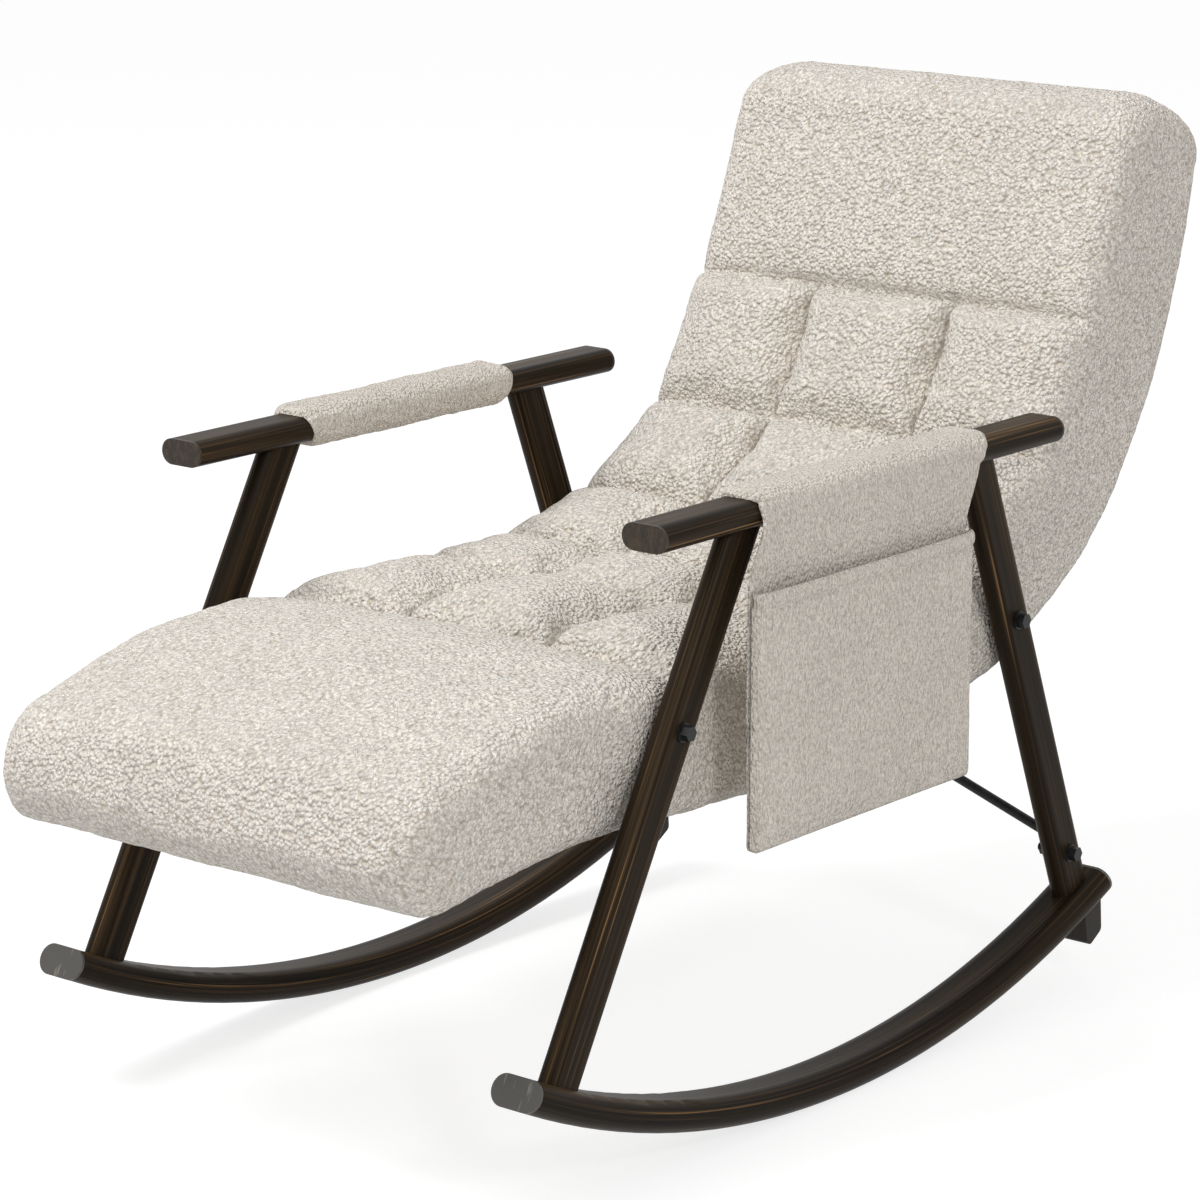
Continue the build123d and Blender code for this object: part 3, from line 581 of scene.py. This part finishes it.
def tuft_height(where, x, seams, fullness):
    """Rise of the padding above the sewn seams, at a place along the mattress and places across it."""
    rows = np.min(np.abs(seams - where))
    crown = 1.0 - (x / SEAT_HALF_WIDTH) ** 2
    groove = SEAM_DEPTH * np.exp(-((rows / SEAM_WIDTH) ** 2))
    if where < seams[0]:
        return ROLL_CROWN * crown * rounding(rows, ROLL_ROUNDING) - groove
    if where > seams[-1]:
        head = HEAD_EVEN + (1 - HEAD_EVEN) * crown
        return HEAD_CROWN * head * rounding(rows, HEAD_ROUNDING) - groove
    columns = np.abs(np.abs(x) - COLUMN_SEAM)
    groove = np.maximum(groove, SEAM_DEPTH * np.exp(-((columns / SEAM_WIDTH) ** 2)))
    back = smooth(where, seams[2], seams[4])
    height = SEAT_TUFT + (BACK_TUFT - SEAT_TUFT) * back
    reach = SEAT_ROUNDING + (BACK_ROUNDING - SEAT_ROUNDING) * back
    less = SEAT_SIDE_LESS + (BACK_SIDE_LESS - SEAT_SIDE_LESS) * back
    side = smooth(np.abs(x), BACK_HALF_WIDTH - SIDE_FALL_START, BACK_HALF_WIDTH - SIDE_FALL_END)
    tuft = rounding(rows, reach) * rounding(columns, reach)
    return fullness * height * (1.0 - less * side) * tuft - groove


def settle(points, side, rings, count):
    """Small uneven swells, as filling gives, that draw the sides in and never push them out."""
    grid = points.reshape(rings, count, 3)
    lengthwise = np.gradient(grid, axis=0)
    crosswise = np.roll(grid, -1, axis=1) - np.roll(grid, 1, axis=1)
    normals = np.cross(lengthwise, crosswise)
    sizes = np.linalg.norm(normals, axis=2, keepdims=True)
    normals = (normals / np.maximum(sizes, 1e-12)).reshape(-1, 3)
    outward = ((grid - grid.mean(axis=1, keepdims=True)).reshape(-1, 3) * normals).sum(axis=1)
    normals *= np.where(outward < 0, -1.0, 1.0)[:, None]
    swell = SWELL_DEPTH * lumps(points, SWELL_SCALE, 3.0)
    swell = swell + SMALL_SWELL_DEPTH * lumps(points, SMALL_SWELL_SCALE, 9.0)
    swell = np.where(side > 0.5, np.minimum(swell, 0.0), swell)
    swell[: count * 2] = 0.0
    swell[-count * 2 :] = 0.0
    return points + normals * swell[:, None]


def touch_legs(points, side):
    """Sides that swell out to the legs round the bolts."""
    for y, z in SIDE_TOUCHES:
        away = np.hypot(points[:, 1] - y, points[:, 2] - z)
        room = np.maximum(SIDE_TOUCH - np.abs(points[:, 0]), 0.0)
        points[:, 0] += np.sign(points[:, 0]) * room * side * np.exp(-((away / SIDE_TOUCH_REACH) ** 4))
    return points


def mattress(fullness):
    """One continuous tufted mattress from roll to head, with its sewn points in a group."""
    upper, under, seam_rows = rib_points()
    roll_tops, roll_lows, roll_drawn = end_ribs(upper[0], under[0], ROLL_TIP, ROLL_CORNER)
    head_tops, head_lows, head_drawn = end_ribs(upper[-1], under[-1], HEAD_TIP, HEAD_CORNER)
    drawn = np.concatenate([roll_drawn, np.zeros(len(upper)), head_drawn[::-1]])
    upper = np.concatenate([roll_tops, upper, head_tops[::-1]])
    under = np.concatenate([roll_lows, under, head_lows[::-1]])
    place = np.concatenate([[0.0], np.cumsum(np.linalg.norm(np.diff(upper, axis=0), axis=1))])
    seams = place[seam_rows + CAP_RIBS]
    back = smooth(place, seams[2], seams[3])
    half = SEAT_HALF_WIDTH + (BACK_HALF_WIDTH - SEAT_HALF_WIDTH) * back - drawn
    points, sides, sewn = [], [], []
    for top, low, width, where in zip(upper, under, half, place):
        thick = max(np.linalg.norm(top - low), 1e-6)
        rise = (top - low) / thick
        x, depth, share, side = rib_loop(width, thick).T
        lift = tuft_height(where, x, seams, fullness) * share * smooth(thick, 0.0, CAP_FADE)
        spot = top + np.outer(depth + lift, rise)
        points.append(np.column_stack([x, spot]))
        sides.append(side)
        near = np.minimum(np.min(np.abs(seams - where)), np.abs(np.abs(x) - COLUMN_SEAM))
        free = (share > 0.98) & (near > SEWN_REACH) & (seams[0] < where < seams[-1])
        sewn.append(~free)
    count = len(x)
    side = np.concatenate(sides)
    points = settle(touch_legs(np.concatenate(points), side), side, len(upper), count)
    border = [int(s > 0.5) for s in sides[0]] * (len(upper) - 1)
    materials = (fleece_top, fleece_border)
    piece = make_piece("mattress", points, ring_faces(len(upper), count), materials, border)
    group = piece.vertex_groups.new(name="sewn")
    group.add([int(i) for i in np.flatnonzero(np.concatenate(sewn))], 1.0, "REPLACE")
    tidy(piece)
    return piece


def vertex_places(mesh):
    """Places of a mesh's points as rows."""
    places = np.empty(3 * len(mesh.vertices))
    mesh.vertices.foreach_get("co", places)
    return places.reshape(-1, 3)


def fill_tufts(piece):
    """Cloth pressure that swells the tufts between their seams, with each point's movement capped."""
    scene = bpy.context.scene
    start = vertex_places(piece.data)
    cloth = piece.modifiers.new("filling", "CLOTH")
    cloth.settings.vertex_group_mass = "sewn"
    cloth.settings.use_pressure = True
    cloth.settings.uniform_pressure_force = FILL_PRESSURE
    cloth.settings.shrink_min = -FILL_SLACK
    cloth.settings.effector_weights.gravity = 0.0
    cloth.point_cache.frame_end = FILL_FRAMES
    for step in range(1, FILL_FRAMES + 1):
        scene.frame_set(step)
    filled = piece.evaluated_get(bpy.context.evaluated_depsgraph_get())
    move = vertex_places(filled.data) - start
    piece.modifiers.remove(cloth)
    scene.frame_set(1)
    back = smooth(start[:, 2], SEAM_CREASE[0][1], SEAM_LUMBAR[0][1])
    cap = FILL_CAP_SEAT + (FILL_CAP_BACK - FILL_CAP_SEAT) * back
    distance = np.linalg.norm(move, axis=1)
    move *= np.minimum(1.0, cap / np.maximum(distance, 1e-9))[:, None]
    piece.data.vertices.foreach_set("co", (start + move).ravel())
    piece.data.update()


def subdivide(piece):
    """One smooth subdivision, applied to the mesh."""
    piece.modifiers.new("smooth", "SUBSURF").levels = 1
    shaped = piece.evaluated_get(bpy.context.evaluated_depsgraph_get())
    mesh = bpy.data.meshes.new_from_object(shaped)
    piece.modifiers.clear()
    piece.vertex_groups.clear()
    piece.data = mesh


def clump(piece):
    """Uneven pile, pressed in from the surface and never out of it."""
    mesh = piece.data
    normals = np.empty(3 * len(mesh.vertices))
    mesh.vertices.foreach_get("normal", normals)
    places = vertex_places(mesh)
    depth = CLUMP_DEPTH * (lumps(places, 1.0 / CLUMP_SIZE, 5.0) - 1.0)
    mesh.vertices.foreach_set("co", (places + normals.reshape(-1, 3) * depth[:, None]).ravel())
    mesh.update()


# Arm covers
def arm_sleeve(name, sign, top_span, under_span, node):
    """Padded sleeve round an arm: fullest on top, thin on the inner side, with rolled ends."""
    turn = np.linspace(0, 2 * pi, SLEEVE_SAMPLES, endpoint=False)
    out, up = np.cos(turn), np.sin(turn)
    padding = PAD_THICKNESS + PAD_TOP_EXTRA * np.maximum(up, 0.0)
    padding = padding - PAD_INNER_LESS * np.maximum(-out, 0.0)
    centre = np.where(out >= 0, 1, -1) * (ARM_WIDTH - ARM_HEIGHT) / 2
    start = under_span[0] + (top_span[0] - under_span[0]) * (up + 1) / 2
    end = under_span[1] + (top_span[1] - under_span[1]) * (up + 1) / 2
    roll = [(PAD_END * (1 - np.cos(a)), np.sin(a)) for a in np.linspace(0.0, pi / 2, SLEEVE_ROLL)]
    stations = [(0.0, inset, fullness) for inset, fullness in roll]
    stations += [(share, PAD_END, 1.0) for share in np.linspace(0, 1, SLEEVE_STATIONS)[1:-1]]
    stations += [(1.0, inset, fullness) for inset, fullness in roll[::-1]]
    points = []
    for share, inset, fullness in stations:
        y = start + inset + (end - start - 2 * inset) * share
        spots = np.column_stack([sign * centre, y, 0 * y])
        spread = np.column_stack([out, 0 * y, up]) * PAD_SWELL_SPREAD
        swell = PAD_SWELL * lumps(spots + spread, PAD_SWELL_SCALE, 2.0)
        swell = np.where(out < PAD_INNER_FACE, np.minimum(swell, 0.0), swell)
        radius = ARM_HEIGHT / 2 + PAD_GAP + (padding + swell) * fullness
        x = sign * (FRAME_HALF_SPACING + centre + radius * out)
        points.append(np.column_stack([x, y, ARM_LEVEL + radius * up]))
    piece = make_piece(name, np.concatenate(points), ring_faces(len(stations), SLEEVE_SAMPLES), [plush])
    tidy(piece)
    clump(piece)
    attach(piece, "frame")
    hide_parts(node)


def thick_sheet(name, outer, inner):
    """A closed sheet from two grids of points, one for each face."""
    total = SHEET_ROWS * SHEET_COLUMNS
    faces = []
    for r in range(SHEET_ROWS - 1):
        for c in range(SHEET_COLUMNS - 1):
            i = r * SHEET_COLUMNS + c
            quad = (i, i + 1, i + 1 + SHEET_COLUMNS, i + SHEET_COLUMNS)
            faces.append(quad)
            faces.append(tuple(total + q for q in quad[::-1]))
    last = SHEET_COLUMNS - 1
    rim = list(range(SHEET_COLUMNS))
    rim += [r * SHEET_COLUMNS + last for r in range(1, SHEET_ROWS)]
    rim += [(SHEET_ROWS - 1) * SHEET_COLUMNS + c for c in range(last - 1, -1, -1)]
    rim += [r * SHEET_COLUMNS for r in range(SHEET_ROWS - 2, 0, -1)]
    for a, b in zip(rim, rim[1:] + rim[:1]):
        faces.append((a, b, total + b, total + a))
    piece = make_piece(name, outer + inner, faces, [plush])
    tidy(piece)
    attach(piece, "frame")
    return piece


PANEL_FACE = FRAME_HALF_SPACING + ARM_WIDTH / 2 + PAD_GAP + PAD_THICKNESS


def corner_cut(z):
    """How far the rounded lower corners draw in at a height."""
    low = max(POCKET_CORNER - (z - PANEL_BOTTOM), 0.0)
    return POCKET_CORNER - np.sqrt(POCKET_CORNER**2 - low**2)


def sway(spot, large, small):
    """Uneven hang of cloth at a spot, from a large and a small pair of depth and scale."""
    return large[0] * noise.noise(spot * large[1]) + small[0] * noise.noise(spot * small[1])


def hanging_panel():
    """Cloth that falls from the left sleeve's outer side and backs the pocket."""
    outer, inner = [], []
    for z in np.linspace(PANEL_BOTTOM, PANEL_TOP, SHEET_ROWS):
        sleeve = smooth(z, POCKET_MOUTH, ARM_LEVEL)
        front = PANEL_FRONT + PANEL_FLARE * sleeve + corner_cut(z)
        rear = PANEL_REAR + (PAD_LEFT_UNDER[1] - PANEL_REAR) * sleeve - corner_cut(z)
        lean = PANEL_LEAN * smooth(z, PANEL_LEAN_START, PANEL_TOP)
        for y in np.linspace(front, rear, SHEET_COLUMNS):
            hang = sway(Vector((0.0, y, z)), PANEL_SWAY, PANEL_SMALL_SWAY)
            hang *= smooth(ARM_LEVEL - z, 0.0, PANEL_HANG)
            soft = PANEL_THICKNESS / 2 * (1 - rounding(min(y - front, rear - y), PANEL_SOFT_EDGE))
            face = PANEL_FACE - lean + hang
            outer.append((face - soft, y, z))
            inner.append((face - PANEL_THICKNESS + soft, y, z))
    piece = thick_sheet("pocket_panel", outer, inner)
    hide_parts("pocket_backing")


def pocket():
    """Front of the pocket: sewn to the panel on three sides, full in the middle, with a rolled hem."""
    outer, inner = [], []
    for z in np.linspace(PANEL_BOTTOM, POCKET_MOUTH, SHEET_ROWS):
        front = PANEL_FRONT + corner_cut(z)
        rear = PANEL_REAR - corner_cut(z)
        down = POCKET_MOUTH - z
        hem = HEM_ROLL * np.sqrt(max(1 - (2 * down / HEM_HEIGHT - 1) ** 2, 0.0))
        stitch = HEM_STITCH_DEPTH * np.exp(-(((down - HEM_HEIGHT) / HEM_STITCH_WIDTH) ** 2))
        for y in np.linspace(front, rear, SHEET_COLUMNS):
            edge = min(y - front, rear - y, z - PANEL_BOTTOM)
            tight = POCKET_TIGHT_SHARE * rounding(edge, POCKET_TIGHT_EDGE)
            full = tight + POCKET_LOOSE_SHARE * rounding(edge, POCKET_LOOSE_EDGE)
            seam = POCKET_SEAM_DEPTH * np.exp(-(((edge - POCKET_SEAM_PLACE) / POCKET_SEAM_WIDTH) ** 2))
            hang = sway(Vector((1.0, y, z)), POCKET_SWAY, POCKET_SMALL_SWAY)
            bulge = (POCKET_BULGE + hang - seam) * full
            face = PANEL_FACE + POCKET_CLEARANCE + bulge + hem - stitch
            outer.append((face + POCKET_CLOTH_OUTER, y, z))
            inner.append((face - POCKET_CLOTH_INNER * full, y, z))
    piece = thick_sheet("pocket", outer, inner)
    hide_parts("pocket_front", "pocket_gusset", "pocket_hem")


# Materials
def leg_film(name, line):
    """Wood-grain film that runs along a leg."""
    direction = (line[0][0] - line[1][0], line[0][1] - line[1][1])
    return ebony(name, lambda shader: along_axis(shader, direction))


# Each fleece's valley colour below is painted shade between the nubs, darker than its top colour.
fleece_top = fleece(
    "teddy_fleece",
    nub_size=0.0038,
    nub_depth=0.0060,
    top=(0.945, 0.885, 0.805),
    painted_valley_shade=(0.64, 0.56, 0.46),
)
fleece_border = fleece(
    "teddy_fleece_border",
    nub_size=0.0036,
    nub_depth=0.0056,
    top=(0.94, 0.875, 0.79),
    painted_valley_shade=(0.62, 0.54, 0.445),
)
plush = fleece(
    "plush_wrap_pile",
    nub_size=0.0024,
    nub_depth=0.0038,
    top=(0.83, 0.765, 0.68),
    painted_valley_shade=(0.61, 0.535, 0.445),
    nap=0.6,
)
rocker_film = ebony("ebony_rocker", along_rocker)
arm_film = ebony("ebony_arm", lambda shader: along_axis(shader, (1.0, 0.0)))
leg_films = {
    "front": leg_film("ebony_front_leg", FRONT_LEG),
    "rear": leg_film("ebony_rear_leg", REAR_LEG),
}
rocker_cap = moulded(
    "cap_rocker",
    dark=(0.088, 0.083, 0.077),
    light=(0.20, 0.185, 0.160),
    rough=0.45,
    grain=0.0001,
    streak=CAP_SLANT,
    edges=(0.60, 0.68),
)
arm_cap = moulded(
    "cap_arm",
    dark=(0.022, 0.016, 0.011),
    light=(0.060, 0.042, 0.027),
    rough=0.45,
    grain=0.0001,
    streak=CAP_SLANT,
)
hardware = moulded(
    "black_oxide",
    dark=(0.0065, 0.0065, 0.007),
    light=(0.020, 0.020, 0.021),
    rough=0.40,
    grain=0.00008,
)
inner_steel = moulded(
    "powder_coat",
    dark=(0.012, 0.012, 0.012),
    light=(0.028, 0.028, 0.028),
    rough=0.55,
    grain=0.00015,
)
stop_rubber = moulded(
    "stop_rubber",
    dark=(0.012, 0.009, 0.0065),
    light=(0.030, 0.022, 0.016),
    rough=0.6,
    grain=0.00015,
)
strap_weave = webbing("strap_weave")


def node_material(name):
    """Material of a carried-over CAD node."""
    if name.startswith("rocker_end"):
        return rocker_cap
    if name.startswith("arm_end"):
        return arm_cap
    if name.startswith("rocker"):
        return rocker_film
    if name in ("arm_left", "arm_right"):
        return arm_film
    if "_leg_" in name:
        return leg_films[name.split("_")[0]]
    if name.startswith("tipping"):
        return stop_rubber
    if name.endswith("straps"):
        return strap_weave
    if name.startswith(("seat_rail", "seat_cross", "back_upright", "back_cross")):
        return inner_steel
    return hardware


for name, node in nodes.items():
    node.data.materials.clear()
    node.data.materials.append(node_material(name))


# Soft pieces
def upholstery():
    """The mattress, filled by cloth pressure, runs on from the seat up the back in one piece."""
    piece = mattress(FILL_START)
    fill_tufts(piece)
    subdivide(piece)
    clump(piece)
    cushions = ("front_roll", "seat", "seat_rear", "lumbar", "back", "head")
    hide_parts(*[f"{cushion}_cushion" for cushion in cushions])
    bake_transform(piece)


upholstery()
arm_sleeve("arm_cover_left", 1, PAD_LEFT_TOP, PAD_LEFT_UNDER, "arm_pad_left")
arm_sleeve("arm_cover_right", -1, PAD_RIGHT_TOP, PAD_RIGHT_UNDER, "arm_pad_right")
hanging_panel()
pocket()


# Floor, light and camera
def floor():
    """Pale floor that the camera and reflections see nearly white, with the chair's shadow."""
    mesh = bpy.data.meshes.new("floor")
    half = FLOOR_SIDE / 2
    corners = [(-half, -half, 0), (half, -half, 0), (half, half, 0), (-half, half, 0)]
    mesh.from_pydata(corners, [], [(0, 1, 2, 3)])
    piece = bpy.data.objects.new("floor", mesh)
    bpy.context.scene.collection.objects.link(piece)
    shader = Shader("pale_floor")
    path = shader.node("ShaderNodeLightPath")
    seen = shader.math("MAXIMUM", path.outputs["Is Camera Ray"], path.outputs["Is Glossy Ray"])
    seen = shader.math("MAXIMUM", seen, path.outputs["Is Transmission Ray"])
    shader.set("Base Color", shader.mix(seen, (FLOOR_COLOUR,) * 3, (FLOOR_SEEN_COLOUR,) * 3))
    shader.set("Emission Strength", shader.math("MULTIPLY", seen, FLOOR_LIFT))
    shader.set("Emission Color", (1.0, 1.0, 1.0))
    shader.set("Roughness", 1.0)
    shader.set("Specular IOR Level", 0.0)
    mesh.materials.append(shader.material)


def world():
    """Even studio light with a white backdrop for the camera and reflections."""
    studio = bpy.data.worlds.new("studio")
    bpy.context.scene.world = studio
    studio.use_nodes = True
    tree = studio.node_tree
    background = tree.nodes["Background"]
    background.inputs["Color"].default_value = (1.0, 1.0, 1.0, 1.0)
    path = tree.nodes.new("ShaderNodeLightPath")
    seen = path.outputs["Is Camera Ray"]
    for other in ("Is Glossy Ray", "Is Transmission Ray"):
        either = tree.nodes.new("ShaderNodeMath")
        either.operation = "MAXIMUM"
        tree.links.new(seen, either.inputs[0])
        tree.links.new(path.outputs[other], either.inputs[1])
        seen = either.outputs[0]
    level = tree.nodes.new("ShaderNodeMapRange")
    level.inputs["To Min"].default_value = WORLD_LEVEL
    level.inputs["To Max"].default_value = 1.0
    tree.links.new(seen, level.inputs["Value"])
    tree.links.new(level.outputs["Result"], background.inputs["Strength"])


def lamp(name, place, side, power):
    """Square soft box aimed at the middle of the chair."""
    light = bpy.data.lights.new(name, "AREA")
    light.energy = power
    light.size = side
    piece = bpy.data.objects.new(name, light)
    piece.location = place
    aim = (cad_low + cad_high) / 2 - Vector(place)
    piece.rotation_euler = aim.to_track_quat("-Z", "Y").to_euler()
    bpy.context.scene.collection.objects.link(piece)


def camera():
    """Camera solved from the photo."""
    lens = bpy.data.cameras.new("camera")
    lens.sensor_width = SENSOR * 1000
    lens.lens = FOCAL_PIXELS / IMAGE_SIDE * SENSOR * 1000
    lens.clip_end = 200.0
    eye = bpy.data.objects.new("camera", lens)
    eye.location = CAMERA_PLACE
    eye.rotation_euler = (radians(90 - CAMERA_TILT), 0.0, radians(CAMERA_TURN))
    bpy.context.scene.collection.objects.link(eye)
    bpy.context.scene.camera = eye


floor()
world()
lamp("key", KEY_PLACE, KEY_SIDE, KEY_POWER)
lamp("fill", FILL_PLACE, FILL_SIDE, FILL_POWER)
camera()
bpy.context.scene.view_settings.view_transform = "Standard"
